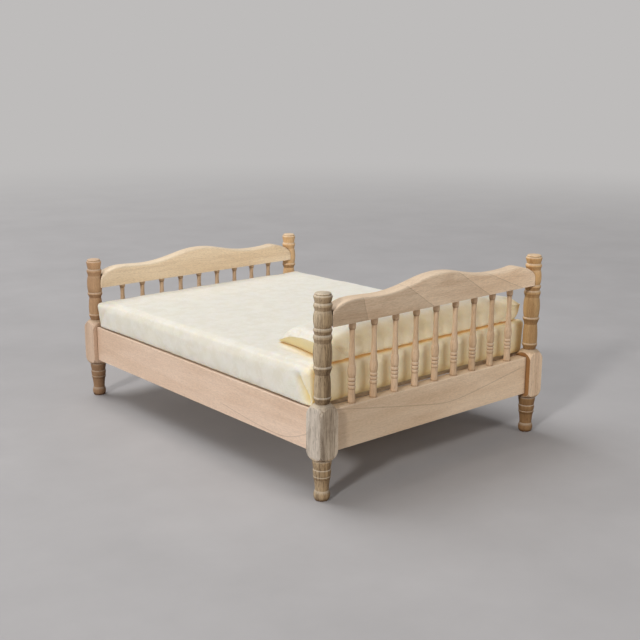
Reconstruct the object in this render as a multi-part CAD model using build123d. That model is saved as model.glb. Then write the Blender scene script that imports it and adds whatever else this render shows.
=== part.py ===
"""Miniature spindle double bed, one twelfth scale, with a loose mattress and a loose pillow.

Frame: origin on the floor under the middle of the bed, +Z up, +Y towards the headboard.
All lengths are in millimetres. Every wooden piece is its own solid, and the glued joints
are round tenons or dowels that sit in drilled holes.
"""

import math
import os

from build123d import *

# ---------------------------------------------------------------- driving dimensions
POST_SPACING_X = 120.0  # between post axes, across the bed
POST_SPACING_Y = 168.3  # between post axes, along the bed
POST_SQUARE = 8.4  # the part of each post that stays square
POMMEL_LOW = 16.1  # height where the square part starts
POMMEL_HIGH = 38.0  # height where the square part ends
HEAD_POST_HEIGHT = 79.8
FOOT_POST_HEIGHT = 67.4

RAIL_LOW = 18.6  # all four rails share one height
RAIL_HIGH = 35.0
END_RAIL_THICK = 5.2
END_RAIL_Y = 83.4  # distance of the end rail's middle from the origin
SIDE_RAIL_THICK = 5.0
SIDE_RAIL_FACE_X = 62.0  # outer face of a side rail

EDGE_EASE = 0.3  # chamfer along the upper edges of rails and slats

CREST_THICK = 6.4
CREST_Y = 83.8  # distance of the crest rail's middle from the origin
CREST_EDGE_ROUND = 0.9  # rounding along the crest's upper edges
COPE_R = 3.6  # hollow in a crest's ends, just over the radius of the posts' vases
HEAD_CREST_LOW = 66.9
FOOT_CREST_LOW = 53.7

SPINDLE_COUNT = 9
SPINDLE_PITCH = 11.3
SPINDLE_TENON_R = 0.8
SPINDLE_TENON_LEN = 2.5
GLUE_GAP = 0.05  # radial and end clearance of every tenon and dowel

CLEAT_SIZE = 3.0  # square strip glued inside each side rail
CLEAT_END_GAP = 2.0
SLAT_COUNT = 7
SLAT_WIDTH = 14.0
SLAT_THICK = 2.5
SLAT_SPAN_Y = 136.0  # between the middles of the first and last slat

RAIL_DOWEL_R = 1.0
RAIL_DOWEL_LEN = 8.0
SIDE_DOWEL_HEIGHTS = (21.6, 29.8)  # the side and end dowels cross inside a post,
END_DOWEL_HEIGHTS = (24.7, 32.6)  # so they lie at different heights
CREST_DOWEL_R = 0.8
CREST_DOWEL_LEN = 6.0
CREST_DOWEL_RISE = 4.2  # above the crest's lower edge
CREST_DOWEL_INSET = 3.4  # from a post's axis to the dowel's middle

MATTRESS_HALF_X = 61.5
MATTRESS_HALF_Y = 79.4
MATTRESS_HIGH = 49.5
MATTRESS_ROUND = 4.0
COVER_WALL = 0.6  # the cloth cover with its thin wadding

PILLOW_MIDDLE_X = -3.5
PILLOW_MIDDLE_Y = 60.6
PILLOW_LENGTH = 104.0
PILLOW_DEPTH = 37.0
PILLOW_HEIGHT = 12.5
PILLOW_ROUND = 5.5

# Turned outlines, from the bottom up. Each step is one arc of the outline:
# (height of the step, radius halfway up it, radius at its top).
# A ring is two steps: a cone that widens upwards to a crisp edge, then a short round shoulder.
LEG_START_R = 2.6
LEG_STEPS = [
    (4.0, 3.15, 2.65),  # foot bulb
    (4.4, 2.78, 3.1),  # waist, flaring upwards
    (1.0, 3.3, 3.4),  # thin ring
    (0.3, 3.36, 3.25),
    (2.2, 3.42, 3.5),  # middle ring
    (0.6, 3.45, 3.25),
    (2.8, 3.5, 3.7),  # ring under the square
    (0.8, 3.65, 3.4),
]
NECK_R = 2.6
# The turned ends of the square: how tall each is, and a point its arc passes through.
POMMEL_TOE = {"start_r": 3.4, "bend_r": 5.1, "bend": 1.2, "height": 3.6}
POMMEL_SHOULDER = {"bend_r": 4.9, "bend": 1.9, "height": 4.3}
HEAD_STEPS = [
    (2.1, 2.95, 3.37),  # ring above the square
    (0.7, 3.3, 3.1),
    (8.4, 3.14, 2.77),  # slim vase
    (2.5, 3.15, 3.6),  # sharp ring
    (0.8, 3.5, 3.2),
    (8.8, 3.56, 3.15),  # long vase
    (1.6, 3.33, 3.56),  # twin rings
    (1.5, 3.48, 3.1),
    (1.4, 3.3, 3.55),
    (1.1, 3.43, 3.15),
    (6.4, 3.56, 3.05),  # upper vase, beside the crest
    (1.6, 3.25, 3.5),  # ring under the cap
    (1.3, 3.42, 3.0),
    (2.1, 3.28, 3.52),  # cap
    (0.8, 3.42, 3.0),
    (0.5, 3.08, 2.9),  # button on the cap
    (0.2, 2.8, 2.55),
]
FOOT_STEPS = [
    (2.1, 2.95, 3.37),  # ring above the square
    (0.7, 3.3, 3.1),
    (8.0, 3.2, 2.8),  # slim vase
    (1.8, 3.15, 3.55),  # sharp ring
    (0.9, 3.45, 3.2),
    (8.0, 3.56, 3.05),  # upper vase, beside the crest
    (2.0, 3.25, 3.5),  # ring under the cap
    (1.3, 3.42, 3.0),
    (3.1, 3.25, 3.52),  # cap
    (0.8, 3.42, 3.0),
    (0.5, 3.08, 2.9),  # button on the cap
    (0.2, 2.8, 2.55),
]
# A spindle's outline is written for unit length and scaled to each board.
SPINDLE_START_R = 1.42
SPINDLE_STEPS = [
    (0.17, 1.4, 1.33),  # plain foot
    (0.047, 1.5, 1.3),  # three rings
    (0.047, 1.5, 1.3),
    (0.047, 1.52, 1.32),
    (0.165, 1.62, 1.28),  # bulb
    (0.22, 1.1, 0.98),  # taper
    (0.20, 0.97, 1.08),  # slim neck
    (0.02, 1.2, 1.3),  # step out to the collar
    (0.084, 1.38, 1.32),  # collar under the crest
]

# Upper outline of a crest rail, one half: (distance from the middle, height above its lower edge).
CREST_TOP = [(0.0, 13.0), (9.0, 12.2), (17.0, 10.5), (25.0, 9.1), (33.0, 8.6), (44.0, 9.1), (51.5, 8.5)]
CREST_SHOULDER = (57.3, 5.6)
CREST_END_X = 58.9
CREST_END_RISE = 2.2  # height of the short upright end
CREST_SLOPE = 0.28  # slope of the outline where its curves meet

HALF_X = POST_SPACING_X / 2
HALF_Y = POST_SPACING_Y / 2
BLOCK_INNER_X = HALF_X - POST_SQUARE / 2
BLOCK_INNER_Y = HALF_Y - POST_SQUARE / 2
SIDE_RAIL_X = SIDE_RAIL_FACE_X - SIDE_RAIL_THICK / 2
SIDE_RAIL_INNER_X = SIDE_RAIL_FACE_X - SIDE_RAIL_THICK
RAIL_MIDDLE_Z = (RAIL_LOW + RAIL_HIGH) / 2
RAIL_HEIGHT = RAIL_HIGH - RAIL_LOW
HEAD_SPINDLE_LEN = HEAD_CREST_LOW - RAIL_HIGH
FOOT_SPINDLE_LEN = FOOT_CREST_LOW - RAIL_HIGH

SIDES = {"left": -1, "right": 1}  # seen from the foot, looking at the headboard
ENDS = {"head": 1, "foot": -1}


# ---------------------------------------------------------------- turning and drilling helpers
def arc_or_line(start, middle, end):
    """One step of a turned outline: an arc, or a line where the three points are in a row."""
    bend = (middle[0] - start[0]) * (end[1] - start[1]) - (end[0] - start[0]) * (middle[1] - start[1])
    if abs(bend) < 1e-4:
        return Line((start[0], 0, start[1]), (end[0], 0, end[1]))
    return ThreePointArc((start[0], 0, start[1]), (middle[0], 0, middle[1]), (end[0], 0, end[1]))


def turned(start_r, steps, base_z, length=1.0):
    """A solid of revolution about Z from its outline steps, standing on base_z."""
    edges = [Line((0, 0, base_z), (start_r, 0, base_z))]
    radius = start_r
    height = base_z
    for rise, middle_r, top_r in steps:
        rise = rise * length
        edges.append(arc_or_line((radius, height), (middle_r, height + rise / 2), (top_r, height + rise)))
        radius = top_r
        height += rise
    edges.append(Line((radius, 0, height), (0, 0, height)))
    edges.append(Line((0, 0, height), (0, 0, base_z)))
    return revolve(make_face(Curve() + edges), Axis.Z)


def rod(radius, length, middle, direction):
    """A round bar of this length, centred on middle and lying along direction."""
    return Plane(origin=middle, z_dir=direction) * Cylinder(radius, length)


def hole_for(radius, length, middle, direction):
    """The drilling that takes a rod, with the glue gap all round."""
    return rod(radius + GLUE_GAP, length + 2 * GLUE_GAP, middle, direction)


# ---------------------------------------------------------------- where the fixings are
def side_dowel_middles(side, end):
    """Dowels along Y that join a side rail to a post."""
    return [(side * SIDE_RAIL_X, end * BLOCK_INNER_Y, z) for z in SIDE_DOWEL_HEIGHTS]


def end_dowel_middles(side, end):
    """Dowels along X that join an end rail to a post."""
    return [(side * BLOCK_INNER_X, end * END_RAIL_Y, z) for z in END_DOWEL_HEIGHTS]


def crest_dowel_middle(side, end):
    """The dowel along X that joins a crest rail to a post."""
    crest_low = HEAD_CREST_LOW if end > 0 else FOOT_CREST_LOW
    return (side * (HALF_X - CREST_DOWEL_INSET), end * CREST_Y, crest_low + CREST_DOWEL_RISE)


def spindle_places():
    """Distances of the spindles from the middle of the bed."""
    first = -SPINDLE_PITCH * (SPINDLE_COUNT - 1) / 2
    return [first + SPINDLE_PITCH * i for i in range(SPINDLE_COUNT)]


def slat_places():
    """Distances of the slats from the middle of the bed, along it."""
    pitch = SLAT_SPAN_Y / (SLAT_COUNT - 1)
    return [-SLAT_SPAN_Y / 2 + pitch * i for i in range(SLAT_COUNT)]


# ---------------------------------------------------------------- posts
def pommel_block():
    """The square part of a post, with its shoulders rounded on the lathe."""
    corner_r = POST_SQUARE / math.sqrt(2) + GLUE_GAP
    toe, shoulder = POMMEL_TOE, POMMEL_SHOULDER
    toe_end = (corner_r, 0, POMMEL_LOW + toe["height"])
    shoulder_start = (corner_r, 0, POMMEL_HIGH - shoulder["height"])
    outline = [
        Line((0, 0, POMMEL_LOW), (toe["start_r"], 0, POMMEL_LOW)),
        ThreePointArc((toe["start_r"], 0, POMMEL_LOW), (toe["bend_r"], 0, POMMEL_LOW + toe["bend"]), toe_end),
        Line(toe_end, shoulder_start),
        ThreePointArc(
            shoulder_start, (shoulder["bend_r"], 0, POMMEL_HIGH - shoulder["bend"]), (NECK_R, 0, POMMEL_HIGH)
        ),
        Line((NECK_R, 0, POMMEL_HIGH), (0, 0, POMMEL_HIGH)),
        Line((0, 0, POMMEL_HIGH), (0, 0, POMMEL_LOW)),
    ]
    middle_z = (POMMEL_LOW + POMMEL_HIGH) / 2
    square = Pos(0, 0, middle_z) * Box(POST_SQUARE, POST_SQUARE, POMMEL_HIGH - POMMEL_LOW)
    return square & revolve(make_face(Curve() + outline), Axis.Z)


def post(side, end):
    """One post: turned leg, square block, turned upper part, drilled for its dowels."""
    steps = HEAD_STEPS if end > 0 else FOOT_STEPS
    top = HEAD_POST_HEIGHT if end > 0 else FOOT_POST_HEIGHT
    stretch = (top - POMMEL_HIGH) / sum(step[0] for step in steps)
    leg = turned(LEG_START_R, LEG_STEPS, 0.0)
    upper = turned(NECK_R, steps, POMMEL_HIGH, stretch)
    body = Pos(side * HALF_X, end * HALF_Y, 0) * (leg + pommel_block() + upper)
    for middle in side_dowel_middles(side, end):
        body -= hole_for(RAIL_DOWEL_R, RAIL_DOWEL_LEN, middle, (0, 1, 0))
    for middle in end_dowel_middles(side, end):
        body -= hole_for(RAIL_DOWEL_R, RAIL_DOWEL_LEN, middle, (1, 0, 0))
    body -= hole_for(CREST_DOWEL_R, CREST_DOWEL_LEN, crest_dowel_middle(side, end), (1, 0, 0))
    return body


# ---------------------------------------------------------------- boards of the two ends
def crest_blank():
    """The serpentine board before its ends are hollowed, lower edge at z = 0."""
    top = [(-x, z) for x, z in reversed(CREST_TOP)] + CREST_TOP[1:]
    left_end, right_end = top[0], top[-1]
    shoulder_x, shoulder_z = CREST_SHOULDER
    slope = CREST_SLOPE
    right_corner, left_corner = (CREST_END_X, CREST_END_RISE), (-CREST_END_X, CREST_END_RISE)
    edges = [
        Line((-CREST_END_X, 0), (CREST_END_X, 0)),
        Line((CREST_END_X, 0), right_corner),
        Spline(right_corner, (shoulder_x, shoulder_z), right_end, tangents=[(0, 1), (-1, slope)]),
        Spline(*reversed(top), tangents=[(-1, slope), (-1, -slope)]),
        Spline(left_end, (-shoulder_x, shoulder_z), left_corner, tangents=[(-1, -slope), (0, -1)]),
        Line(left_corner, (-CREST_END_X, 0)),
    ]
    face = Plane.XZ * make_face(Curve() + edges)
    board = extrude(face, CREST_THICK / 2, both=True)
    upper = board.edges().filter_by(lambda edge: edge.center().Z > CREST_END_RISE)
    long_edges = upper.filter_by(lambda edge: abs(abs(edge.center().Y) - CREST_THICK / 2) < 0.01)
    return fillet(long_edges, CREST_EDGE_ROUND)


def crest_rail(end):
    """A crest rail, hollowed to the round posts and bored for spindles and dowels."""
    low = HEAD_CREST_LOW if end > 0 else FOOT_CREST_LOW
    board = Pos(0, end * CREST_Y, low) * crest_blank()
    for side in SIDES.values():
        board -= Pos(side * HALF_X, end * HALF_Y, low) * Cylinder(COPE_R, 4 * CREST_TOP[0][1])
        board -= hole_for(CREST_DOWEL_R, CREST_DOWEL_LEN, crest_dowel_middle(side, end), (1, 0, 0))
    for x in spindle_places():
        board -= hole_for(SPINDLE_TENON_R, 2 * SPINDLE_TENON_LEN, (x, end * CREST_Y, low), (0, 0, 1))
    return board


def end_rail(end):
    """A lower rail between two posts, bored from above for the spindles."""
    board = Pos(0, end * END_RAIL_Y, RAIL_MIDDLE_Z) * Box(2 * BLOCK_INNER_X, END_RAIL_THICK, RAIL_HEIGHT)
    board = chamfer(board.edges().filter_by(Axis.X).group_by(Axis.Z)[-1], EDGE_EASE)
    for side in SIDES.values():
        for middle in end_dowel_middles(side, end):
            board -= hole_for(RAIL_DOWEL_R, RAIL_DOWEL_LEN, middle, (1, 0, 0))
    for x in spindle_places():
        board -= hole_for(SPINDLE_TENON_R, 2 * SPINDLE_TENON_LEN, (x, end * CREST_Y, RAIL_HIGH), (0, 0, 1))
    return board


def spindle(x, end):
    """A turned spindle with a round tenon at each end."""
    length = HEAD_SPINDLE_LEN if end > 0 else FOOT_SPINDLE_LEN
    body = turned(SPINDLE_START_R, SPINDLE_STEPS, 0.0, length)
    body += Pos(0, 0, length / 2) * Cylinder(SPINDLE_TENON_R, length + 2 * SPINDLE_TENON_LEN)
    return Pos(x, end * CREST_Y, RAIL_HIGH) * body


# ---------------------------------------------------------------- side rails, cleats and slats
def side_rail(side):
    """A long rail between a head post and a foot post."""
    board = Pos(side * SIDE_RAIL_X, 0, RAIL_MIDDLE_Z) * Box(SIDE_RAIL_THICK, 2 * BLOCK_INNER_Y, RAIL_HEIGHT)
    board = chamfer(board.edges().filter_by(Axis.Y).group_by(Axis.Z)[-1], EDGE_EASE)
    for end in ENDS.values():
        for middle in side_dowel_middles(side, end):
            board -= hole_for(RAIL_DOWEL_R, RAIL_DOWEL_LEN, middle, (0, 1, 0))
    return board


def cleat(side):
    """The strip glued inside a side rail that carries the slats' ends."""
    x = side * (SIDE_RAIL_INNER_X - CLEAT_SIZE / 2)
    z = RAIL_HIGH - SLAT_THICK - CLEAT_SIZE / 2
    return Pos(x, 0, z) * Box(CLEAT_SIZE, 2 * (BLOCK_INNER_Y - CLEAT_END_GAP), CLEAT_SIZE)


def slat(y):
    """One flat board across the cleats, level with the top of the rails."""
    board = Pos(0, y, RAIL_HIGH - SLAT_THICK / 2) * Box(2 * SIDE_RAIL_INNER_X, SLAT_WIDTH, SLAT_THICK)
    return chamfer(board.edges().filter_by(Axis.X).group_by(Axis.Z)[-1], EDGE_EASE)


# ---------------------------------------------------------------- soft goods
def mattress_shape(inset):
    """The mattress block with rounded edges, drawn in by inset on every side."""
    size_x = 2 * (MATTRESS_HALF_X - inset)
    size_y = 2 * (MATTRESS_HALF_Y - inset)
    size_z = MATTRESS_HIGH - RAIL_HIGH - 2 * inset
    block = Pos(0, 0, (MATTRESS_HIGH + RAIL_HIGH) / 2) * Box(size_x, size_y, size_z)
    return fillet(block.edges(), MATTRESS_ROUND - inset)


def pillow():
    """A long pillow lying on the mattress against the head spindles."""
    block = Pos(PILLOW_MIDDLE_X, PILLOW_MIDDLE_Y, MATTRESS_HIGH + PILLOW_HEIGHT / 2)
    block *= Box(PILLOW_LENGTH, PILLOW_DEPTH, PILLOW_HEIGHT)
    return fillet(block.edges(), PILLOW_ROUND)


# ---------------------------------------------------------------- the whole bed
def build():
    """Every piece of the bed by node name."""
    nodes = {}
    for end_name, end in ENDS.items():
        for side_name, side in SIDES.items():
            nodes[f"{end_name}_post_{side_name}"] = post(side, end)
        nodes[f"{end_name}_crest_rail"] = crest_rail(end)
        nodes[f"{end_name}_lower_rail"] = end_rail(end)
        for number, x in enumerate(spindle_places(), start=1):
            nodes[f"{end_name}_spindle_{number}"] = spindle(x, end)
        nodes[f"{end_name}_crest_dowels"] = Compound(children=[
            rod(CREST_DOWEL_R, CREST_DOWEL_LEN, crest_dowel_middle(side, end), (1, 0, 0))
            for side in SIDES.values()
        ])
        nodes[f"{end_name}_rail_dowels"] = Compound(children=[
            rod(RAIL_DOWEL_R, RAIL_DOWEL_LEN, middle, (1, 0, 0))
            for side in SIDES.values()
            for middle in end_dowel_middles(side, end)
        ])
    for side_name, side in SIDES.items():
        nodes[f"side_rail_{side_name}"] = side_rail(side)
        nodes[f"cleat_{side_name}"] = cleat(side)
        nodes[f"side_dowels_{side_name}"] = Compound(children=[
            rod(RAIL_DOWEL_R, RAIL_DOWEL_LEN, middle, (0, 1, 0))
            for end in ENDS.values()
            for middle in side_dowel_middles(side, end)
        ])
    for number, y in enumerate(slat_places(), start=1):
        nodes[f"slat_{number}"] = slat(y)
    nodes["mattress_cover"] = mattress_shape(0.0) - mattress_shape(COVER_WALL)
    nodes["mattress_core"] = mattress_shape(COVER_WALL)
    nodes["pillow"] = pillow()
    return nodes


os.makedirs("parts", exist_ok=True)
for name, shape in build().items():
    export_step(shape, f"parts/{name}.step")
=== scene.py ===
"""Looks for the miniature spindle double bed: bare turned wood, a cream mattress and a cream pillow.

The frame is in metres, with +Z up and +Y towards the headboard. Sizes in this script are named in
millimetres and turned into metres by MM. Textures are laid out in millimetres too.
"""

import math
import random

import bpy
import bmesh
from mathutils import Matrix, Vector, noise


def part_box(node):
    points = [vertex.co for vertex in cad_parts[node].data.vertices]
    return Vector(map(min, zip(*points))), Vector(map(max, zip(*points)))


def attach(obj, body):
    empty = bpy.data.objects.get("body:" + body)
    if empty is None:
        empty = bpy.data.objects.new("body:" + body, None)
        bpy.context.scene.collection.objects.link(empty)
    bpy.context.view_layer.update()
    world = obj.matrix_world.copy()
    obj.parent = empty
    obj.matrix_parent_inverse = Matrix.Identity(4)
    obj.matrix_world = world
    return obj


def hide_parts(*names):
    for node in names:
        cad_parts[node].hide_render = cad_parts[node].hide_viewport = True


MM = 0.001
SEED = 12

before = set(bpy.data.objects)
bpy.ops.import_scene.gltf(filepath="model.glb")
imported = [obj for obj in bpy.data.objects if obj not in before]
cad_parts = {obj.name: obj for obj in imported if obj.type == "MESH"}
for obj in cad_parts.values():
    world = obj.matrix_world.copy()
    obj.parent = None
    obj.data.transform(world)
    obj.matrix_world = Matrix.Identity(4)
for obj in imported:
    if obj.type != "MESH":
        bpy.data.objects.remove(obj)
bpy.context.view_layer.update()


# ---------------------------------------------------------------- small helpers
def smoothstep(low, high, value):
    """0 below low, 1 above high, smooth between."""
    t = max(0.0, min(1.0, (value - low) / (high - low)))
    return t * t * (3 - 2 * t)


def mesh_object(name, points, faces):
    """A new mesh object in the scene, at the origin."""
    mesh = bpy.data.meshes.new(name)
    mesh.from_pydata([tuple(p) for p in points], [], faces)
    mesh.validate()
    piece = bpy.data.objects.new(name, mesh)
    bpy.context.scene.collection.objects.link(piece)
    for polygon in mesh.polygons:
        polygon.use_smooth = True
    return piece


def apply_modifiers(piece):
    """Replaces the piece's mesh by its evaluated one, with no modifiers left."""
    bpy.context.view_layer.update()
    graph = bpy.context.evaluated_depsgraph_get()
    mesh = bpy.data.meshes.new_from_object(piece.evaluated_get(graph))
    piece.modifiers.clear()
    piece.data = mesh
    for polygon in mesh.polygons:
        polygon.use_smooth = True


def subdivide(piece):
    """One round of Catmull-Clark subdivision, applied."""
    modifier = piece.modifiers.new("smooth", "SUBSURF")
    modifier.levels = modifier.render_levels = 1
    apply_modifiers(piece)


def face_outwards(piece):
    """Makes every face normal point out of a closed mesh."""
    bm = bmesh.new()
    bm.from_mesh(piece.data)
    bmesh.ops.recalc_face_normals(bm, faces=bm.faces)
    bm.to_mesh(piece.data)
    bm.free()


# ---------------------------------------------------------------- material graphs
class Graph:
    """Short-hand for building one material's node tree."""

    def __init__(self, name):
        self.material = bpy.data.materials.new(name)
        self.material.use_nodes = True
        self.tree = self.material.node_tree
        self.tree.nodes.clear()
        self.out = self.add("ShaderNodeOutputMaterial")
        self.surface = self.add("ShaderNodeBsdfPrincipled")
        self.tree.links.new(self.surface.outputs[0], self.out.inputs["Surface"])

    def add(self, kind, settings=None, inputs=None):
        """A node with its settings, and its inputs linked or set."""
        node = self.tree.nodes.new(kind)
        for key, value in (settings or {}).items():
            setattr(node, key, value)
        for key, value in (inputs or {}).items():
            self.feed(node.inputs[key], value)
        return node

    def feed(self, socket, value):
        """Links a socket to the input, or sets the input's value."""
        if isinstance(value, bpy.types.NodeSocket):
            self.tree.links.new(value, socket)
        else:
            socket.default_value = value

    def calc(self, operation, a, b=0.0, c=0.0):
        """One Math node."""
        return self.add("ShaderNodeMath", {"operation": operation}, {0: a, 1: b, 2: c}).outputs[0]

    def vector(self, operation, a, b=(0.0, 0.0, 0.0)):
        """One Vector Math node."""
        return self.add("ShaderNodeVectorMath", {"operation": operation}, {0: a, 1: b}).outputs[0]

    def noise(self, vector, scale, detail=3.0, rough=0.5, distortion=0.0):
        """Perlin noise about 0.5."""
        inputs = {"Vector": vector, "Scale": scale, "Detail": detail, "Roughness": rough}
        inputs["Distortion"] = distortion
        return self.add("ShaderNodeTexNoise", None, inputs).outputs["Fac"]

    def ease(self, value, low, high):
        """A smooth step from 0 at low to 1 at high."""
        settings = {"interpolation_type": "SMOOTHSTEP"}
        inputs = {"Value": value, "From Min": low, "From Max": high}
        return self.add("ShaderNodeMapRange", settings, inputs).outputs["Result"]

    def mix(self, factor, a, b, blend="MIX"):
        """One colour mix."""
        settings = {"data_type": "RGBA", "blend_type": blend}
        node = self.add("ShaderNodeMix", settings)
        self.feed(node.inputs["Factor"], factor)
        self.feed(node.inputs[6], a)
        self.feed(node.inputs[7], b)
        return node.outputs[2]

    def scaled(self, vector, x, y, z):
        """The vector times (x, y, z)."""
        return self.vector("MULTIPLY", vector, (x, y, z))

    def place(self, turn=None):
        """Position on the piece in millimetres, with the grain turned onto the third axis."""
        texture = self.add("ShaderNodeTexCoord").outputs["Object"]
        position = self.scaled(texture, 1 / MM, 1 / MM, 1 / MM)
        if turn is None:
            return position
        split = self.add("ShaderNodeSeparateXYZ", None, {0: position})
        order = {"x": ("Y", "Z", "X"), "y": ("X", "Z", "Y"), "z": ("X", "Y", "Z")}[turn]
        inputs = {target: split.outputs[source] for target, source in zip("XYZ", order)}
        return self.add("ShaderNodeCombineXYZ", None, inputs).outputs[0]

    def bump(self, height, distance, strength=0.5):
        """A bump of this many millimetres."""
        inputs = {"Height": height, "Distance": distance * MM, "Strength": strength}
        return self.add("ShaderNodeBump", None, inputs).outputs[0]

    def parts(self, vector):
        """The three components of a vector."""
        return self.add("ShaderNodeSeparateXYZ", None, {0: vector}).outputs

    def grey(self, value):
        """A grey of this brightness."""
        return self.add("ShaderNodeCombineXYZ", None, {0: value, 1: value, 2: value}).outputs[0]

    def flip(self, value):
        """One less the value."""
        return self.calc("SUBTRACT", 1.0, value)

    def times(self, a, b):
        """The product of two values."""
        return self.calc("MULTIPLY", a, b)

    def tint(self, factor, colour, tint):
        """The colour multiplied by the tint, as far as the factor says."""
        return self.mix(factor, colour, self.mix(1.0, colour, tint, "MULTIPLY"))

    def normal(self):
        """The surface's direction."""
        return self.add("ShaderNodeNewGeometry").outputs["Normal"]

    def openness(self, reach, samples):
        """Share of the surroundings that is open within this many millimetres."""
        settings, inputs = {"samples": samples}, {"Distance": reach * MM}
        return self.add("ShaderNodeAmbientOcclusion", settings, inputs).outputs["AO"]


def srgb(red, green, blue):
    """A linear colour with alpha from display values of 0 to 255."""
    def linear(value):
        value = value / 255
        return value / 12.92 if value <= 0.04045 else ((value + 0.055) / 1.055) ** 2.4
    return (linear(red), linear(green), linear(blue), 1.0)


# ---------------------------------------------------------------- wood
INK = (0.10, 0.06, 0.035, 1.0)  # the dark of pores and glue lines
GROWTH_INK = (0.22, 0.13, 0.08, 1.0)  # the brown of a growth line
TURNING_SHADE = (0.38, 0.29, 0.21, 1.0)  # painted shade under turns that face down and in turned grooves
CORNER_SHADE = (0.38, 0.27, 0.18, 1.0)  # painted shade in a corner between two pieces
WEAR_AND_HIGHLIGHT = (0.95, 0.84, 0.68, 1.0)  # what an edge leans to: partly wear, partly painted highlight
LEDGE_LIGHT = (0.93, 0.86, 0.74, 1.0)  # painted light on a turned ledge that faces up
EDGE_WIDE = 0.25  # mm, width of a lighter edge
CREASE_REACH, GROOVE_REACH = 3.0, 0.9  # mm, how near another surface brings painted shade into a corner or a groove
CREASE_SHARE = 0.5  # how dark the painted shade in a corner is
WOOD_ROUGH = 0.6
WOOD_SHINE = 0.3

SQUARE_SPAN = (17.0, 37.0)  # mm, heights between which a post is square
SQUARE_BLEND = 0.6  # mm, half of the run from square to turned
TOP_SPAN = (60.0, 70.0)  # mm, heights over which a post's shaft grows lighter
HEARTWOOD_START = 42.2  # mm, where y less 0.7 x passes through the near post's middle
HEARTWOOD_LEAN = 0.7
HEARTWOOD_TINT = (0.66, 0.58, 0.47, 1.0)

# Glue joints between the staves of a crest board, from +X to -X: x where each meets the board's
# lower edge, and how far it leans towards +X per mm of height.
STAVE_JOINTS = [(40.0, 0.3), (4.5, 1.5), (-28.5, 1.6), (-50.0, 2.5)]
GLUE_LINE = 0.2  # mm
# How light each stave is, from +X to -X.
STAVE_TONES = [0.70, 0.82, 0.94, 1.06, 1.17]

# A brown growth line that dips and rises again, along x on the head's lower rail and along y on a
# side rail: where it starts, its lowest point as (place, height above the floor), how steep it gets
# before and after that point, and how round its bend is.
GROWTH_LINE = {"start": -55.0, "low": (-8.0, 24.9), "slopes": (0.16, 0.18), "bend": 8.0}
SIDE_LINE = {"start": 20.0, "low": (60.0, 19.6), "slopes": (0.14, 0.75), "bend": 20.0}
LINE_EASE = 4.0  # mm, the run over which a growth line fades in
RAIL_HALF = 60.0  # mm, half of the run over which a rail's painted light and shade change


def wood_base(graph, grain, light, dark, vein, ring_gap=4.0, rings=0.15, pores=0.4, streaks=0.3):
    """Colour and height of bare wood: growth rings, streaks along the grain, flecks and pores."""
    seed = graph.add("ShaderNodeAttribute", {"attribute_type": "OBJECT", "attribute_name": "wood_seed"})
    here = graph.vector("ADD", graph.place(grain), seed.outputs["Vector"])

    wander = graph.noise(graph.scaled(here, 0.06, 0.06, 0.010), 1.0, 2.0)
    side, front, _ = graph.parts(here)
    across = graph.calc("ADD", side, graph.times(front, 0.35))
    bent = graph.calc("ADD", across, graph.times(wander, 30.0))
    wave = graph.calc("SINE", graph.times(bent, 2 * math.pi / ring_gap))
    patch = graph.ease(graph.noise(graph.scaled(here, 0.11, 0.11, 0.02), 1.0), 0.38, 0.62)
    ring = graph.times(graph.ease(wave, 0.1, 1.0), patch)

    tone = graph.noise(graph.scaled(here, 0.10, 0.10, 0.018), 1.0, 2.0)
    broad = graph.noise(graph.scaled(here, 0.35, 0.35, 0.022), 1.0, 2.0)
    narrow = graph.noise(graph.scaled(here, 1.9, 1.9, 0.09), 1.0, 4.0, 0.75, 0.4)
    streak = graph.calc("MULTIPLY_ADD", narrow, 0.6, graph.times(broad, 0.45))
    fleck = graph.noise(graph.scaled(here, 3.4, 3.4, 0.75), 1.0, 2.0, 0.6)
    fibre = graph.noise(graph.scaled(here, 6.5, 6.5, 0.55), 1.0, 2.0, 0.7)
    pore = graph.ease(graph.noise(graph.scaled(here, 3.6, 3.6, 0.34), 1.0, 1.0), 0.62, 0.74)

    colour = graph.mix(graph.ease(tone, 0.3, 0.7), dark, light)
    colour = graph.mix(graph.times(graph.ease(streak, 0.46, 0.66), streaks), colour, vein)
    colour = graph.mix(graph.times(ring, rings), colour, vein)
    colour = graph.mix(graph.times(pore, pores), colour, graph.mix(0.35, vein, INK))
    fine = graph.calc("MULTIPLY_ADD", graph.ease(fleck, 0.3, 0.7), 0.14, 0.90)
    fine = graph.calc("MULTIPLY_ADD", graph.ease(fibre, 0.3, 0.7), 0.08, fine)
    colour = graph.mix(1.0, colour, graph.grey(fine), "MULTIPLY")
    height = graph.calc("SUBTRACT", fibre, graph.times(pore, 1.2))
    return colour, height


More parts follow.
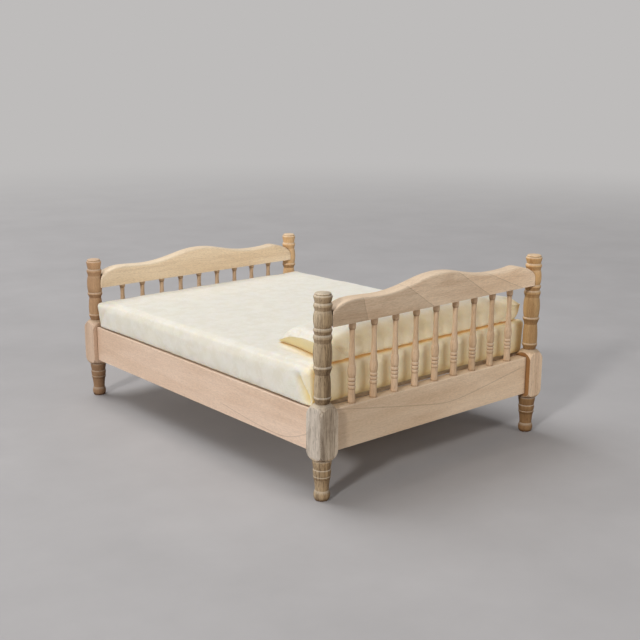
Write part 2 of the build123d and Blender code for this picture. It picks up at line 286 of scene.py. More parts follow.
def finish_wood(graph, colour, height, edge=0.6, groove=0.3, round_part=1.0):
    """Lighter edges, partly wear and partly painted highlight; painted light on turned ledges that
    face up; painted shade in corners, under turns that face down and in grooves; roughness and
    bump; returns the material.

    edge and groove say how strong the lighter edges and the turning's painted light and shade
    are; round_part is 1 where the piece is turned and 0 on its square.
    """
    flat = graph.normal()
    bevel = graph.add("ShaderNodeBevel", {"samples": 4}, {"Radius": EDGE_WIDE * MM}).outputs[0]
    inputs = {0: bevel, 1: flat}
    turned = graph.add("ShaderNodeVectorMath", {"operation": "DOT_PRODUCT"}, inputs).outputs["Value"]
    # lighter edges: partly wear, partly painted highlight
    wear_and_highlight = graph.times(graph.ease(graph.flip(turned), 0.02, 0.22), edge)
    colour = graph.mix(wear_and_highlight, colour, graph.mix(0.55, colour, WEAR_AND_HIGHLIGHT))
    # painted shade in corners between pieces
    crease = graph.ease(graph.flip(graph.openness(CREASE_REACH, 6)), 0.35, 0.95)
    colour = graph.tint(graph.times(crease, CREASE_SHARE), colour, CORNER_SHADE)
    rise = graph.parts(flat)[2]
    # painted light on turned ledges that face up
    ledge = graph.times(graph.ease(rise, 0.10, 0.55), graph.times(round_part, groove))
    colour = graph.mix(ledge, colour, graph.mix(0.5, colour, LEDGE_LIGHT))
    # painted shade under turns that face down
    under = graph.flip(graph.ease(rise, -0.40, -0.04))
    colour = graph.tint(graph.times(under, groove), colour, TURNING_SHADE)
    # painted shade in turned grooves
    cut = graph.ease(graph.flip(graph.openness(GROOVE_REACH, 6)), 0.06, 0.42)
    colour = graph.tint(graph.times(cut, groove), colour, TURNING_SHADE)
    graph.feed(graph.surface.inputs["Base Color"], colour)
    graph.feed(graph.surface.inputs["Roughness"], graph.calc("MULTIPLY_ADD", height, 0.12, WOOD_ROUGH))
    graph.feed(graph.surface.inputs["Normal"], graph.bump(height, 0.02))
    graph.surface.inputs["Specular IOR Level"].default_value = WOOD_SHINE
    return graph.material


def plain_wood(name, grain, light, dark, vein, edge=0.6, groove=0.3, **look):
    """A wood with no marks of its own."""
    graph = Graph(name)
    colour, height = wood_base(graph, grain, light, dark, vein, **look)
    return finish_wood(graph, colour, height, edge, groove)


def post_wood(name, light, dark, vein, tints, shaded=0.0, flank=None, groove=0.6, **look):
    """A post's wood, darker on its shaft and foot, which show end grain, than on its square; the
    foot's tint is also painted shade, as it stands low under the bed.

    tints are the shaft's, the foot's, and how much lighter the shaft's top is; shaded darkens the
    headward half of the square, as heartwood; flank is the tint of the square's face towards +X,
    partly darker wood and partly painted shade.
    """
    graph = Graph(name)
    colour, height = wood_base(graph, "z", light, dark, vein, **look)
    position = graph.place()
    x, y, level = graph.parts(position)
    shaft, foot, top = tints
    low, high = SQUARE_SPAN
    gain = graph.calc("MULTIPLY_ADD", graph.ease(level, *TOP_SPAN), top - 1.0, 1.0)
    colour = graph.mix(1.0, colour, graph.grey(gain), "MULTIPLY")
    above = graph.ease(level, high - SQUARE_BLEND, high + SQUARE_BLEND)
    below = graph.flip(graph.ease(level, low - SQUARE_BLEND, low + SQUARE_BLEND))
    colour = graph.tint(above, colour, shaft)
    # the foot's tint: partly painted shade, low under the bed
    colour = graph.tint(below, colour, foot)
    round_part = graph.calc("MAXIMUM", above, below)
    if flank:
        # the flank's tint: partly darker wood, partly painted shade
        side = graph.ease(graph.parts(graph.normal())[0], 0.75, 0.95)
        colour = graph.tint(graph.times(side, graph.flip(round_part)), colour, flank)
    if shaded:
        lean = graph.calc("SUBTRACT", y, graph.times(x, HEARTWOOD_LEAN))
        heart = graph.ease(lean, HEARTWOOD_START - 1.5, HEARTWOOD_START + 3.0)
        colour = graph.tint(graph.times(heart, shaded), colour, HEARTWOOD_TINT)
    return finish_wood(graph, colour, height, 1.0, groove, round_part)


def joint_mask(graph, x, z, foot, lean, width):
    """Distance from a leaning line on a board's face, positive towards -X, and 1 on that line."""
    ahead = graph.calc("SUBTRACT", graph.calc("MULTIPLY_ADD", z, lean, foot), x)
    distance = graph.times(ahead, 1 / math.hypot(1, lean))
    return distance, graph.flip(graph.ease(graph.calc("ABSOLUTE", distance), width * 0.3, width))


def crest_wood(name, node, light, dark, vein, spread=1.0):
    """A board glued up from slanted staves; spread is how much they differ in tone."""
    graph = Graph(name)
    colour, height = wood_base(graph, "x", light, dark, vein, ring_gap=3.4, rings=0.2, pores=0.35)
    x, _, z = graph.parts(graph.place())
    z = graph.calc("SUBTRACT", z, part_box(node)[0].z / MM)
    sway = graph.times(graph.calc("SUBTRACT", graph.noise(graph.place(), 0.25, 2.0), 0.5), 0.9)
    x = graph.calc("ADD", x, sway)
    tone = 1 + (STAVE_TONES[0] - 1) * spread
    for number, (foot, lean) in enumerate(STAVE_JOINTS):
        distance, mark = joint_mask(graph, x, z, foot, lean, GLUE_LINE)
        step = (STAVE_TONES[number + 1] - STAVE_TONES[number]) * spread
        past = graph.ease(distance, -GLUE_LINE / 2, GLUE_LINE / 2)
        tone = graph.calc("ADD", tone, graph.times(past, step))
        colour = graph.mix(graph.times(mark, 0.28 * spread), colour, INK)
    sideways = graph.calc("ABSOLUTE", graph.parts(graph.normal())[1])
    upper = graph.flip(graph.ease(sideways, 0.5, 0.75))  # the top face shows no staves
    tone = graph.calc("ADD", tone, graph.times(upper, graph.flip(tone)))
    colour = graph.mix(1.0, colour, graph.grey(tone), "MULTIPLY")
    return finish_wood(graph, colour, height)


def line_height(graph, along, line):
    """Height of a growth line: a smooth bend at its lowest point, nearly straight away from it."""
    middle, height = line["low"]
    before, after = line["slopes"]
    away = graph.calc("SUBTRACT", along, middle)
    reach = graph.calc("SQRT", graph.calc("MULTIPLY_ADD", away, away, line["bend"] ** 2))
    slope = graph.calc("MULTIPLY_ADD", graph.calc("GREATER_THAN", away, 0.0), after - before, before)
    return graph.calc("MULTIPLY_ADD", graph.calc("SUBTRACT", reach, line["bend"]), slope, height)


def growth_rail_wood(name, grain, line, light, dark, vein, strength=0.34, end_shading=(1.0, 1.0)):
    """A plain board crossed by one thin brown growth line; end_shading is its two ends'
    brightness, painted light and shade along the board.
    """
    graph = Graph(name)
    look = {"ring_gap": 5.0, "rings": 0.12, "pores": 0.25, "streaks": 0.2}
    colour, height = wood_base(graph, grain, light, dark, vein, **look)
    position = graph.parts(graph.place())
    along = position["XYZ".index(grain.upper())]
    off = graph.calc("SUBTRACT", position[2], line_height(graph, along, line))
    thin = graph.flip(graph.ease(graph.calc("ABSOLUTE", off), 0.05, 0.3))
    inside = graph.ease(along, line["start"], line["start"] + LINE_EASE)
    below = graph.times(inside, graph.flip(graph.ease(off, -3.0, 0.0)))
    colour = graph.mix(graph.times(below, 0.12), colour, dark)
    # painted light and shade along the board, from one end's brightness to the other's
    run = graph.ease(along, -RAIL_HALF, RAIL_HALF)
    tone = graph.calc("MULTIPLY_ADD", run, end_shading[1] - end_shading[0], end_shading[0])
    colour = graph.mix(1.0, colour, graph.grey(tone), "MULTIPLY")
    colour = graph.mix(graph.times(graph.times(thin, inside), strength), colour, GROWTH_INK)
    return finish_wood(graph, colour, height)


def colours(light, dark, vein):
    """The three colours of a timber."""
    return {"light": srgb(*light), "dark": srgb(*dark), "vein": srgb(*vein)}


TAN = colours((236, 211, 182), (224, 195, 163), (186, 148, 112))
SAND = colours((242, 216, 186), (228, 199, 168), (184, 146, 112))
BROWN = colours((217, 189, 159), (201, 171, 138), (158, 121, 88))
GREY = colours((234, 224, 212), (211, 199, 185), (128, 112, 96))
PINK = colours((238, 212, 190), (228, 199, 174), (202, 166, 138))
ROSE = colours((224, 196, 172), (212, 183, 158), (176, 141, 112))
PALE = colours((247, 225, 194), (237, 212, 178), (196, 160, 122))

# Tints of the shaft and of the foot (with painted shade), and how much lighter the shaft's top is.
TANNED = ((0.58, 0.48, 0.31, 1.0), (0.37, 0.28, 0.17, 1.0), 1.45)
ROSY = ((0.72, 0.61, 0.46, 1.0), (0.47, 0.38, 0.28, 1.0), 1.4)
BLEACHED = ((1.0, 0.90, 0.70, 1.0), (0.55, 0.46, 0.35, 1.0), 1.0)
WEATHERED = ((0.75, 0.66, 0.51, 1.0), (0.80, 0.68, 0.50, 1.0), 1.06)
# part darker wood, part painted shade, on a square's face towards +X
FLANK_SHADE = (0.42, 0.28, 0.15, 1.0)

# Nodes with a timber of their own, and name parts shared by the others.
OWN_TIMBER = {
    "head_post_right": "grey_post", "head_post_left": "tan_post", "foot_post_right": "rose_post",
    "foot_post_left": "pale_post", "head_lower_rail": "growth", "head_crest_rail": "head_crest",
    "foot_crest_rail": "foot_crest", "foot_lower_rail": "end", "side_rail_right": "arc",
}
SHARED_TIMBER = {"_spindle_": "spindle", "side_rail": "side", "cleat": "slat_y", "side_dowels": "slat_y"}
SOFT_NODES = ("mattress_cover", "mattress_core", "pillow")


def make_timbers():
    """Every wood material, by kind."""
    return {
        "grey_post": post_wood("grey_post_timber", **GREY, tints=WEATHERED, shaded=0.8,
                               rings=0.2, pores=0.8, streaks=0.85),
        "tan_post": post_wood("tan_post_timber", **SAND, tints=TANNED, flank=FLANK_SHADE,
                              rings=0.2, pores=0.5, streaks=0.45),
        "rose_post": post_wood("rose_post_timber", **ROSE, tints=ROSY, groove=0.5),
        "pale_post": post_wood("pale_post_timber", **SAND, tints=BLEACHED),
        "spindle": plain_wood("spindle_timber", "z", **BROWN, edge=1.0, groove=0.6,
                              ring_gap=3.0, streaks=0.35),
        "side": plain_wood("side_rail_timber", "y", **PINK, ring_gap=6.0, rings=0.12, pores=0.2,
                           streaks=0.2),
        "end": plain_wood("end_rail_timber", "x", **TAN, ring_gap=5.0, pores=0.25, streaks=0.25),
        # the head rail's +X end darker: painted shade
        "growth": growth_rail_wood("head_rail_timber", "x", GROWTH_LINE, **TAN, end_shading=(1.06, 0.80)),
        "arc": growth_rail_wood("marked_side_rail_timber", "y", SIDE_LINE, **PINK, strength=0.3),
        "head_crest": crest_wood("head_crest_timber", "head_crest_rail", **TAN),
        "foot_crest": crest_wood("foot_crest_timber", "foot_crest_rail", **PALE, spread=0.25),
        "slat_x": plain_wood("slat_timber", "x", **PALE, ring_gap=3.0),
        "slat_y": plain_wood("cleat_timber", "y", **PALE, ring_gap=3.0),
    }


def paint_wood():
    """Gives every carried-over wooden node its own timber."""
    timbers = make_timbers()
    draw = random.Random(SEED)
    for name in sorted(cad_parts):
        if name in SOFT_NODES:
            continue
        shared = [kind for part, kind in SHARED_TIMBER.items() if part in name]
        kind = OWN_TIMBER.get(name, shared[0] if shared else "slat_x")
        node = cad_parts[name]
        node["wood_seed"] = [draw.uniform(0, 400) for _ in range(3)]
        node.data.materials.clear()
        node.data.materials.append(timbers[kind])


# ---------------------------------------------------------------- cloth
CREAM_LOW, CREAM_HIGH = srgb(235, 230, 215), srgb(240, 236, 224)
FIGURE = srgb(246, 243, 232)  # the woven figure
SHADE = srgb(238, 217, 152)  # what cloth leans to where little sky reaches it
FOLD_SHADE = srgb(222, 172, 76)  # painted shade in a tight fold
RAIL_GAP_SHADE = srgb(120, 88, 60)  # painted shade where it meets the rails
POCKET_SHADE = srgb(225, 207, 150)  # painted golden shade in the corner hollows and under the pillow's end
HEAD_SHADE_TINT = (1.0, 0.95, 0.80, 1.0)  # painted warm shade at the head end, behind the spindles
# painted glow at the head end, standing for light coming through the cloth
HEAD_GLOW = srgb(250, 216, 158)
GLOW = 0.07  # brightness of that painted glow
HEAD_SPAN = (72.0, 77.0)  # mm, y over which the head end begins
BED_LEVEL = 35.0  # mm, where the mattress lies on the rails and slats
FLANK_SPAN = (59.6, 60.8)  # mm from the middle, where the mattress's flank starts and has no folds
FOLD_NEAR, FOLD_WIDE = 4.0, 16.0  # mm, how near other cloth brings painted shade of a tight fold, and wider painted shade
THREAD_GAP = 0.45  # mm
LIGHT_DEPTH = (1.0, 0.75, 0.4)  # how far red, green and blue light go into the cloth, to DEPTH_SCALE
DEPTH_SCALE = 3.0  # mm


def cloth_material(name, depth=0.3, folds=1.0):
    """Cream cotton: fine weave, a faint self-coloured figure, painted warm shade in its folds and
    hollows, where it meets the rails and at the head end, and a painted glow at the head end.

    depth is how much light passes through the cloth and its filling, folds how strong the
    painted shade of its folds is.
    """
    graph = Graph(name)
    surface = graph.surface.inputs
    here = graph.place()
    x, y, z = graph.parts(here)
    inputs = {"Vector": here, "Scale": 0.22, "Detail": 1.0}
    push = graph.scaled(graph.add("ShaderNodeTexNoise", None, inputs).outputs["Color"], 5.0, 5.0, 5.0)
    bent = graph.vector("ADD", here, push)
    inputs = {"Vector": bent, "Scale": 0.24}
    cells = graph.add("ShaderNodeTexVoronoi", {"feature": "SMOOTH_F1"}, inputs).outputs["Distance"]
    veins = graph.ease(graph.noise(bent, 0.55, 1.0, 0.4, 1.2), 0.52, 0.58)
    pattern = graph.times(graph.ease(cells, 0.30, 0.42), veins)
    threads = [graph.calc("SINE", graph.times(axis, 2 * math.pi / THREAD_GAP)) for axis in (x, y, z)]
    weave = graph.times(graph.calc("ADD", threads[0], threads[2]), threads[1])
    nap = graph.noise(here, 3.0, 4.0, 0.7)

    swirl = graph.noise(here, 0.16, 2.0)
    colour = graph.mix(graph.ease(swirl, 0.35, 0.65), CREAM_LOW, CREAM_HIGH)
    colour = graph.mix(graph.times(pattern, 0.35), colour, FIGURE)
    shade = graph.flip(graph.ease(graph.openness(FOLD_WIDE, 8), 0.2, 0.8))
    colour = graph.mix(graph.times(shade, 0.8 * folds), colour, SHADE)
    # painted shade in tight folds, none on the mattress's flanks
    fold = graph.flip(graph.ease(graph.openness(FOLD_NEAR, 8), 0.15, 0.85))
    fold = graph.times(fold, graph.flip(graph.ease(graph.calc("ABSOLUTE", x), *FLANK_SPAN)))
    colour = graph.mix(graph.times(fold, 0.8 * folds), colour, FOLD_SHADE)
    # painted shade where the mattress meets the rails
    base = graph.flip(graph.ease(z, BED_LEVEL + 0.1, BED_LEVEL + 1.1))
    colour = graph.mix(graph.times(base, 0.85), colour, RAIL_GAP_SHADE)
    # painted golden shade in the corner hollows and under the pillow's end, kept in the inner attribute
    settings = {"attribute_type": "GEOMETRY", "attribute_name": "inner"}
    inner = graph.add("ShaderNodeAttribute", settings).outputs["Fac"]
    colour = graph.mix(graph.times(inner, 0.85), colour, POCKET_SHADE)
    # painted warm shade at the head end, and a painted glow there standing for light through the cloth
    head = graph.ease(y, *HEAD_SPAN)
    colour = graph.tint(graph.times(head, 0.8), colour, HEAD_SHADE_TINT)
    graph.feed(surface["Base Color"], colour)
    graph.feed(surface["Emission Strength"], graph.times(head, GLOW))
    surface["Emission Color"].default_value = HEAD_GLOW
    graph.feed(surface["Roughness"], graph.calc("MULTIPLY_ADD", pattern, -0.18, 0.85))
    surface["Subsurface Weight"].default_value = depth
    surface["Subsurface Radius"].default_value = LIGHT_DEPTH
    surface["Subsurface Scale"].default_value = DEPTH_SCALE * MM
    surface["Sheen Weight"].default_value = 0.25
    surface["Sheen Roughness"].default_value = 0.5
    height = graph.calc("ADD", graph.times(weave, 0.3), nap)
    height = graph.calc("ADD", height, graph.times(pattern, 0.9))
    graph.feed(surface["Normal"], graph.bump(height, 0.07))
    return graph.material


# ---------------------------------------------------------------- cloth simulation
SIM_SCALE = 10.0  # the cloth solver behaves at full-size lengths, not at miniature ones


def simulate(piece, frames, pressure, held, grow, cap_mm, stiffness=15.0):
    """Swells a closed mesh with Cloth, keeps each point within the cap and leaves no modifier.

    held lists the points that stay put, and grow is how much larger the cloth is cut.
    """
    rest = [v.co.copy() for v in piece.data.vertices]
    piece.data.transform(Matrix.Scale(SIM_SCALE, 4))
    modifier = piece.modifiers.new("cloth", "CLOTH")
    settings = modifier.settings
    settings.quality = 6
    settings.mass = 0.3
    settings.tension_stiffness = stiffness
    settings.compression_stiffness = stiffness
    settings.shear_stiffness = stiffness / 3
    settings.bending_stiffness = 0.4
    settings.air_damping = 2.0
    settings.use_pressure = True
    settings.uniform_pressure_force = pressure
    settings.shrink_min = -grow
    settings.effector_weights.gravity = 0.0
    modifier.collision_settings.use_collision = False
    group = piece.vertex_groups.new(name="held")
    group.add(list(held), 1.0, "REPLACE")
    settings.vertex_group_mass = "held"
    modifier.point_cache.frame_start = 1
    modifier.point_cache.frame_end = frames
    scene = bpy.context.scene
    for number in range(1, frames + 1):
        scene.frame_set(number)
    graph = bpy.context.evaluated_depsgraph_get()
    swollen = [v.co.copy() / SIM_SCALE for v in piece.evaluated_get(graph).data.vertices]
    piece.modifiers.clear()
    piece.vertex_groups.clear()
    scene.frame_set(1)
    for vertex, start, end in zip(piece.data.vertices, rest, swollen):
        move = end - start
        if move.length > cap_mm * MM:
            move = move.normalized() * cap_mm * MM
        vertex.co = start + move
    piece.data.update()


# ---------------------------------------------------------------- mattress
MATTRESS_CELLS = (84, 104, 14)  # along x, y and z
MATTRESS_ROUND = 2.0  # mm, radius of the mattress's edges
MATTRESS_CROWN = 0.7  # mm, how far its middle rises above its edges
MATTRESS_TILT = 1.2  # mm, how far its head edge stands above its middle
FOLD_REACH = 6.4  # mm, how far a corner fold's free edge lies from the corner at the top
FOLD_LIP = 0.5  # mm, how far that edge stands out
POCKET_DEEP = 2.3  # mm, hollow beside it
POCKET_WIDE = 3.2  # mm
FOOT_FOLD = 0.3  # share of the fold at the foot end, where the cloth is pulled tighter
CORNER_PULL = 0.9  # mm, how far the top corners are drawn out
TUG_DEEP = 0.22  # mm, the flanks' upright unevenness
MATTRESS_RIPPLE = 0.25  # mm, unevenness of the top
DENT_MIDDLE = (50.0, 56.0)  # mm, x and y of the dent that runs on from the pillow's end
DENT_WIDE, DENT_LONG, DENT_DEEP = 1.8, 11.0, 0.7  # mm


def graded(share):
    """Grid places from 0 to 1, closer together near both ends."""
    t = 2 * share - 1
    return (1.42 * t - 0.42 * t ** 3 + 1) / 2


def rounded_block(name, low, high, counts, radius):
    """A closed grid of cells over a block, drawn in to rounded edges."""
    size = high - low
    index = {}
    points = []

    def corner(key):
        if key not in index:
            index[key] = len(points)
            raw = Vector(low[a] + size[a] * graded(key[a] / counts[a]) for a in range(3))
            inner = Vector(min(max(raw[a], low[a] + radius), high[a] - radius) for a in range(3))
            out = raw - inner
            points.append(inner + out.normalized() * radius if out.length > 1e-9 else raw)
        return index[key]

    faces = []
    for axis in range(3):
        first, second = [a for a in range(3) if a != axis]
        for end in (0, counts[axis]):
            for p in range(counts[first]):
                for q in range(counts[second]):
                    loop = []
                    for dp, dq in ((0, 0), (1, 0), (1, 1), (0, 1)):
                        key = [0, 0, 0]
                        key[axis], key[first], key[second] = end, p + dp, q + dq
                        loop.append(corner(tuple(key)))
                    faces.append(loop)
    piece = mesh_object(name, points, faces)
    face_outwards(piece)
    return piece


def fold_relief(distance, height):
    """How far the side stands out, in mm, at this distance from a fold's free edge."""
    tall = smoothstep(0.0, 0.22, height) * (1 - smoothstep(0.60, 0.84, height))
    if distance < 0:
        return FOLD_LIP * math.exp(-(distance / 2.2) ** 2) * tall
    hollow = math.exp(-(max(0.0, distance - 0.5) / POCKET_WIDE) ** 2)
    return (FOLD_LIP - (FOLD_LIP + POCKET_DEEP * hollow) * smoothstep(0.0, 0.8, distance)) * tall


def mark_painted_shade(piece, values):
    """Keeps, for each point, how much painted golden shade the cloth there gets."""
    layer = piece.data.attributes.new("inner", "FLOAT", "POINT")
    for item, value in zip(layer.data, values):
        item.value = value


def shape_mattress(piece, low, high):
    """Crown, tilt, soft unevenness, tucked corners and the dent at the pillow's end."""
    middle = (low + high) / 2
    half = (high - low) / 2
    round_in = MATTRESS_ROUND * MM
    hollows = [0.0] * len(piece.data.vertices)
    for vertex in piece.data.vertices:
        co = vertex.co
        u = (co.x - middle.x) / half.x
        v = (co.y - middle.y) / half.y
        height = min(1.0, max(0.0, (co.z - low.z) / (2 * half.z)))
        out = Vector((math.copysign(max(0.0, abs(co.x) - half.x + round_in), u),
                      math.copysign(max(0.0, abs(co.y) - half.y + round_in), v), 0))
        if out.length > 0.3 * round_in:
            out.normalize()
            edge = FOLD_REACH * smoothstep(0.0, 0.85, height) ** 1.5
            distance = (half.y - abs(co.y)) / MM - edge
            if distance < 4 * POCKET_WIDE:
                share = 1.0 if v > 0 else FOOT_FOLD
                relief = fold_relief(distance, height) * out.x * out.x * share
                # the corner hollows get painted golden shade
                hollows[vertex.index] = smoothstep(0.1, 0.8, -relief / POCKET_DEEP)
                co += out * relief * MM
            tug = noise.noise(Vector((co.x * 300, co.y * 300, co.z * 45))) * TUG_DEEP * MM
            co += out * tug * math.sin(math.pi * height)
        corner = smoothstep(0.86, 1.0, abs(u)) * smoothstep(0.92, 1.0, abs(v))
        corner *= smoothstep(0.3, 0.9, height)
        co.x += math.copysign(CORNER_PULL * MM * corner, u)
        crown = MATTRESS_CROWN * MM * (1 - u * u) * (1 - v ** 4)
        ripple = noise.noise(co * 80 + Vector((3, 1, 7))) * MATTRESS_RIPPLE * MM
        across = (co.x / MM - DENT_MIDDLE[0]) / DENT_WIDE
        along = (co.y / MM - DENT_MIDDLE[1]) / DENT_LONG
        dent = DENT_DEEP * MM * math.exp(-across * across - along * along)
        co.z += (crown + MATTRESS_TILT * MM * v + ripple - dent) * smoothstep(0.25, 1.0, height)
        co.z = max(co.z, low.z)
    mark_painted_shade(piece, hollows)


def build_mattress(cloth):
    """The mattress cover: a crowned block with soft edges and tucked corners."""
    low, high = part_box("mattress_cover")
    inset = Vector((0.0, 0.2, 0.0)) * MM
    top_inset = Vector((0.0, 0.2, 0.6)) * MM
    piece = rounded_block("mattress", low + inset, high - top_inset, MATTRESS_CELLS, MATTRESS_ROUND * MM)
    held = [v.index for v in piece.data.vertices if v.co.z < low.z + 0.4 * MM]
    simulate(piece, 16, 0.5, held, grow=0.004, cap_mm=0.35)
    shape_mattress(piece, low, high)
    subdivide(piece)
    piece.data.materials.append(cloth)
    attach(piece, "mattress")
    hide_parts("mattress_cover", "mattress_core")
    return piece


# ---------------------------------------------------------------- pillow
PILLOW_COLUMNS, PILLOW_ROWS = 84, 44  # cells in each panel
PILLOW_RIGHT, PILLOW_LEFT = (49.8, 3.1), (-56.5, -1.8)  # mm, x of an end's middle, and its lean
PILLOW_HEAD, PILLOW_FOOT = 78.9, 41.8  # mm, y of its long edges
PILLOW_TOP, PILLOW_BED = 62.0, 50.1  # mm, z of its crown and of its underside
PILLOW_EDGE = 51.2  # mm, z of the seam along the long edges
END_RISE = 5.1  # mm, how far the seam rises on the way to the ends
PLEAT_DEEP, PILLOW_RIPPLE = 0.45, 0.3  # mm
SEAM_RADIUS, SEAM_SIDES = 0.14, 6  # mm, and sides of its section


def rounded_share(t, power):
    """Share of the full height at t of the way from the middle to the edge, steep at the edge."""
    return math.sqrt(max(0.0, 1 - abs(t) ** power))


def pillow_point(layer, s, t):
    """A point of the pillow in mm: layer 0 is the underside, s and t run from -1 to 1."""
    u = math.copysign(math.sin(math.pi / 2 * abs(s)) ** 0.8, s)
    v = math.copysign(math.sin(math.pi / 2 * abs(t)) ** 0.8, t)
    right = PILLOW_RIGHT[0] + PILLOW_RIGHT[1] * v + 0.7 * (v * v - 1)
    left = PILLOW_LEFT[0] + PILLOW_LEFT[1] * v - 0.7 * (v * v - 1)
    x = left + (right - left) * (u + 1) / 2
    waist = 0.9 * (1 - abs(u) ** 6)
    y = (PILLOW_HEAD + PILLOW_FOOT) / 2 + v * ((PILLOW_HEAD - PILLOW_FOOT) / 2 - waist)
    rise = END_RISE * (1 - ((1 - v) / 2) ** 3.5) + 0.9 * smoothstep(0.4, 1.0, v)
    seam = PILLOW_EDGE + rise * smoothstep(0.76, 1.0, abs(u))
    if layer:
        blunt = 8 if u < 0 else 3.4 + 4.6 * smoothstep(0.2, 0.9, v)
        full = rounded_share(u, blunt) * rounded_share(v, 9 if v > 0 else 3.2)
        z = seam + (PILLOW_TOP - seam) * full
        bulge = 4 * full * (1 - full)
        y += 0.9 * bulge * max(0.0, v) ** 12
    else:
        full = rounded_share(u, 60) * rounded_share(v, 40)
        z = seam - (seam - PILLOW_BED) * full
    return Vector((x, y, z))


def build_pillow(cloth):
    """The long pillow: two panels sewn at the edge, filled, resting on the mattress."""
    corners = ((0, 0), (1, 0), (1, 1), (0, 1))
    index = {}
    points = []
    underside_shade = []

    def spot(layer, i, j):
        on_edge = i in (0, PILLOW_COLUMNS) or j in (0, PILLOW_ROWS)
        key = (0 if on_edge else layer, i, j)
        if key not in index:
            index[key] = len(points)
            # painted golden shade on the underside of the pillow's +X half, away from its head edge
            share = 0.6 if on_edge else 1.0 - layer
            share *= smoothstep(0.0, 0.5, 2 * i / PILLOW_COLUMNS - 1)
            underside_shade.append(share * (1 - smoothstep(0.35, 0.7, 2 * j / PILLOW_ROWS - 1)))
            points.append(pillow_point(key[0], 2 * i / PILLOW_COLUMNS - 1, 2 * j / PILLOW_ROWS - 1) * MM)
        return index[key]

    faces = []
    for layer in (0, 1):
        for i in range(PILLOW_COLUMNS):
            for j in range(PILLOW_ROWS):
                faces.append([spot(layer, i + di, j + dj) for di, dj in corners])
    edge = [(i, 0) for i in range(PILLOW_COLUMNS)] + [(PILLOW_COLUMNS, j) for j in range(PILLOW_ROWS)]
    edge += [(PILLOW_COLUMNS - i, PILLOW_ROWS) for i in range(PILLOW_COLUMNS)]
    edge += [(0, PILLOW_ROWS - j) for j in range(PILLOW_ROWS)]
    rim = [index[(0, i, j)] for i, j in edge]
    piece = mesh_object("pillow_bag", points, faces)
    face_outwards(piece)
    low = (PILLOW_BED + 0.05) * MM
    held = {v.index for v in piece.data.vertices if v.co.z < low or underside_shade[v.index] > 0.3}
    simulate(piece, 14, 1.5, held.union(rim), grow=0.03, cap_mm=0.7, stiffness=10.0)
    for vertex in piece.data.vertices:
        co = vertex.co
        rise = smoothstep(PILLOW_BED * MM, (PILLOW_BED + 3) * MM, co.z)
        wall = smoothstep(74 * MM, 78 * MM, co.y)
        pleat = noise.noise(Vector((co.x * 150, 3.0, co.z * 25))) * PLEAT_DEEP * MM * wall * rise
        ripple = noise.noise(co * 150 + Vector((5, 2, 9))) * PILLOW_RIPPLE * MM * rise
        co.y += pleat
        co.z = max(PILLOW_BED * MM, co.z + ripple)
    loop = [piece.data.vertices[i].co.copy() for i in rim]
    mark_painted_shade(piece, underside_shade)
    subdivide(piece)
    piece.data.materials.append(cloth)
    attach(piece, "pillow")
    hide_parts("pillow")
    build_seam("pillow_seam", loop, cloth_material("seam_cotton", depth=0.0, folds=0.35))
    return piece


def build_seam(name, loop, cloth):
    """A fine sewn lip along a closed run of points."""
    points = []
    count = len(loop)
    for i, here in enumerate(loop):
        along = (loop[(i + 1) % count] - loop[i - 1]).normalized()
        out = along.cross(Vector((0, 0, 1))).normalized()
        up = out.cross(along)
        for k in range(SEAM_SIDES):
            angle = 2 * math.pi * k / SEAM_SIDES
            points.append(here + (out * math.cos(angle) * 1.6 + up * math.sin(angle)) * SEAM_RADIUS * MM)
    faces = []
    for i in range(count):
        here, after = i * SEAM_SIDES, (i + 1) % count * SEAM_SIDES
        for k in range(SEAM_SIDES):
            turn = (k + 1) % SEAM_SIDES
            faces.append([here + k, here + turn, after + turn, after + k])
    seam = mesh_object(name, points, faces)
    face_outwards(seam)
    seam.data.materials.append(cloth)
    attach(seam, "pillow")


# ---------------------------------------------------------------- stage, light and camera
BACKDROP = srgb(190, 188, 187)
FLOOR_DARK, FLOOR_LIGHT = srgb(170, 168, 169), srgb(190, 188, 189)
FLOOR_HALF = 6.0  # m
FLOOR_FADE = (380.0, 1250.0)  # mm from the middle, over which the floor turns into the backdrop
AMBIENT = 0.40  # light from the backdrop, as a share of its brightness
WARM_WHITE = (1.0, 0.98, 0.95)

# Each lamp's name, place in m, width in m, power in W and colour: soft light from high behind the
# foot end, a key light low beyond the right head corner, and a broad one before the head end.
LAMPS = [
    ("overhead", (0.24, -0.92, 1.72), 1.3, 23.5, (1.0, 1.0, 1.0)),
    ("key", (1.86, 0.73, 0.90), 0.22, 20.5, WARM_WHITE),
    ("front", (-0.5, 1.9, 0.75), 1.2, 9.0, WARM_WHITE),
]
LAMP_TARGET = Vector((0.0, 0.0, 0.04))


def build_stage():
    """A plain pale floor that fades into the backdrop."""
    corners = [(x * FLOOR_HALF, y * FLOOR_HALF, 0) for x, y in ((-1, -1), (1, -1), (1, 1), (-1, 1))]
    floor = mesh_object("floor", corners, [[0, 1, 2, 3]])
    graph = Graph("floor_grey")
    here = graph.place()
    cloud = graph.noise(here, 0.02, 4.0, 0.6)
    graph.feed(graph.surface.inputs["Base Color"], graph.mix(cloud, FLOOR_DARK, FLOOR_LIGHT))
    graph.surface.inputs["Roughness"].default_value = 0.7
    away = graph.add("ShaderNodeVectorMath", {"operation": "LENGTH"}, {0: here}).outputs["Value"]
    glow = graph.add("ShaderNodeEmission", None, {"Color": BACKDROP}).outputs[0]
    inputs = {0: graph.ease(away, *FLOOR_FADE), 1: graph.surface.outputs[0], 2: glow}
    blend = graph.add("ShaderNodeMixShader", None, inputs)
    graph.feed(graph.out.inputs["Surface"], blend.outputs[0])
    floor.data.materials.append(graph.material)


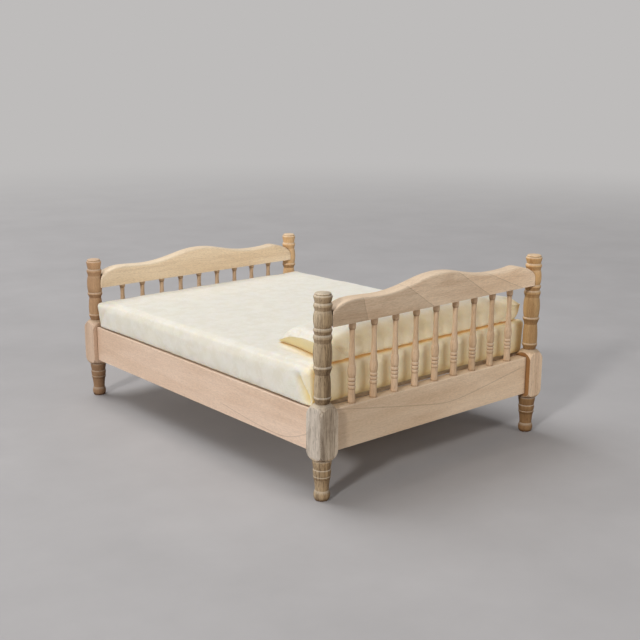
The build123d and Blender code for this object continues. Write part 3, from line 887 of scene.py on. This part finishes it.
def area_light(name, place, size, power, colour):
    """A square soft light at place, turned to the bed."""
    light = bpy.data.lights.new(name, "AREA")
    light.shape = "SQUARE"
    light.size = size
    light.energy = power
    light.color = colour
    lamp = bpy.data.objects.new(name, light)
    lamp.location = place
    lamp.rotation_euler = (LAMP_TARGET - Vector(place)).to_track_quat("-Z", "Y").to_euler()
    lamp.visible_camera = False
    bpy.context.scene.collection.objects.link(lamp)


def build_lights():
    """The lamps, and a pale world that lights the bed less than it shows to the camera."""
    for lamp in LAMPS:
        area_light(*lamp)
    world = bpy.data.worlds.new("pale")
    world.use_nodes = True
    tree = world.node_tree
    path = tree.nodes.new("ShaderNodeLightPath")
    strength = tree.nodes.new("ShaderNodeMapRange")
    strength.inputs["To Min"].default_value = AMBIENT
    strength.inputs["To Max"].default_value = 1.0
    tree.links.new(path.outputs["Is Camera Ray"], strength.inputs["Value"])
    tree.links.new(strength.outputs[0], tree.nodes["Background"].inputs["Strength"])
    tree.nodes["Background"].inputs["Color"].default_value = BACKDROP
    bpy.context.scene.world = world


CAMERA_PLACE = Vector((304.3, 367.4, 161.9)) * MM
CAMERA_TURN = math.radians(40.62)  # from looking along -Y, towards -X
CAMERA_DIP = math.radians(13.87)
CAMERA_ROLL = math.radians(0.32)
CAMERA_LENS = 59.94  # mm on a 36 mm sensor


def build_camera():
    """The camera, looking over the head end's right corner."""
    forward = Vector((-math.sin(CAMERA_TURN) * math.cos(CAMERA_DIP),
                      -math.cos(CAMERA_TURN) * math.cos(CAMERA_DIP), -math.sin(CAMERA_DIP)))
    level = Vector((-math.cos(CAMERA_TURN), math.sin(CAMERA_TURN), 0.0))
    above = level.cross(forward)
    right = level * math.cos(CAMERA_ROLL) + above * math.sin(CAMERA_ROLL)
    up = above * math.cos(CAMERA_ROLL) - level * math.sin(CAMERA_ROLL)
    data = bpy.data.cameras.new("camera")
    data.lens = CAMERA_LENS
    data.clip_start = 0.01
    camera = bpy.data.objects.new("camera", data)
    turn = Matrix((right, up, -forward)).transposed()
    camera.matrix_world = Matrix.Translation(CAMERA_PLACE) @ turn.to_4x4()
    bpy.context.scene.collection.objects.link(camera)
    bpy.context.scene.camera = camera


cotton = cloth_material("cream_cotton")
paint_wood()
build_mattress(cotton)
build_pillow(cotton)
build_stage()
build_lights()
build_camera()
bpy.context.scene.view_settings.view_transform = "Standard"
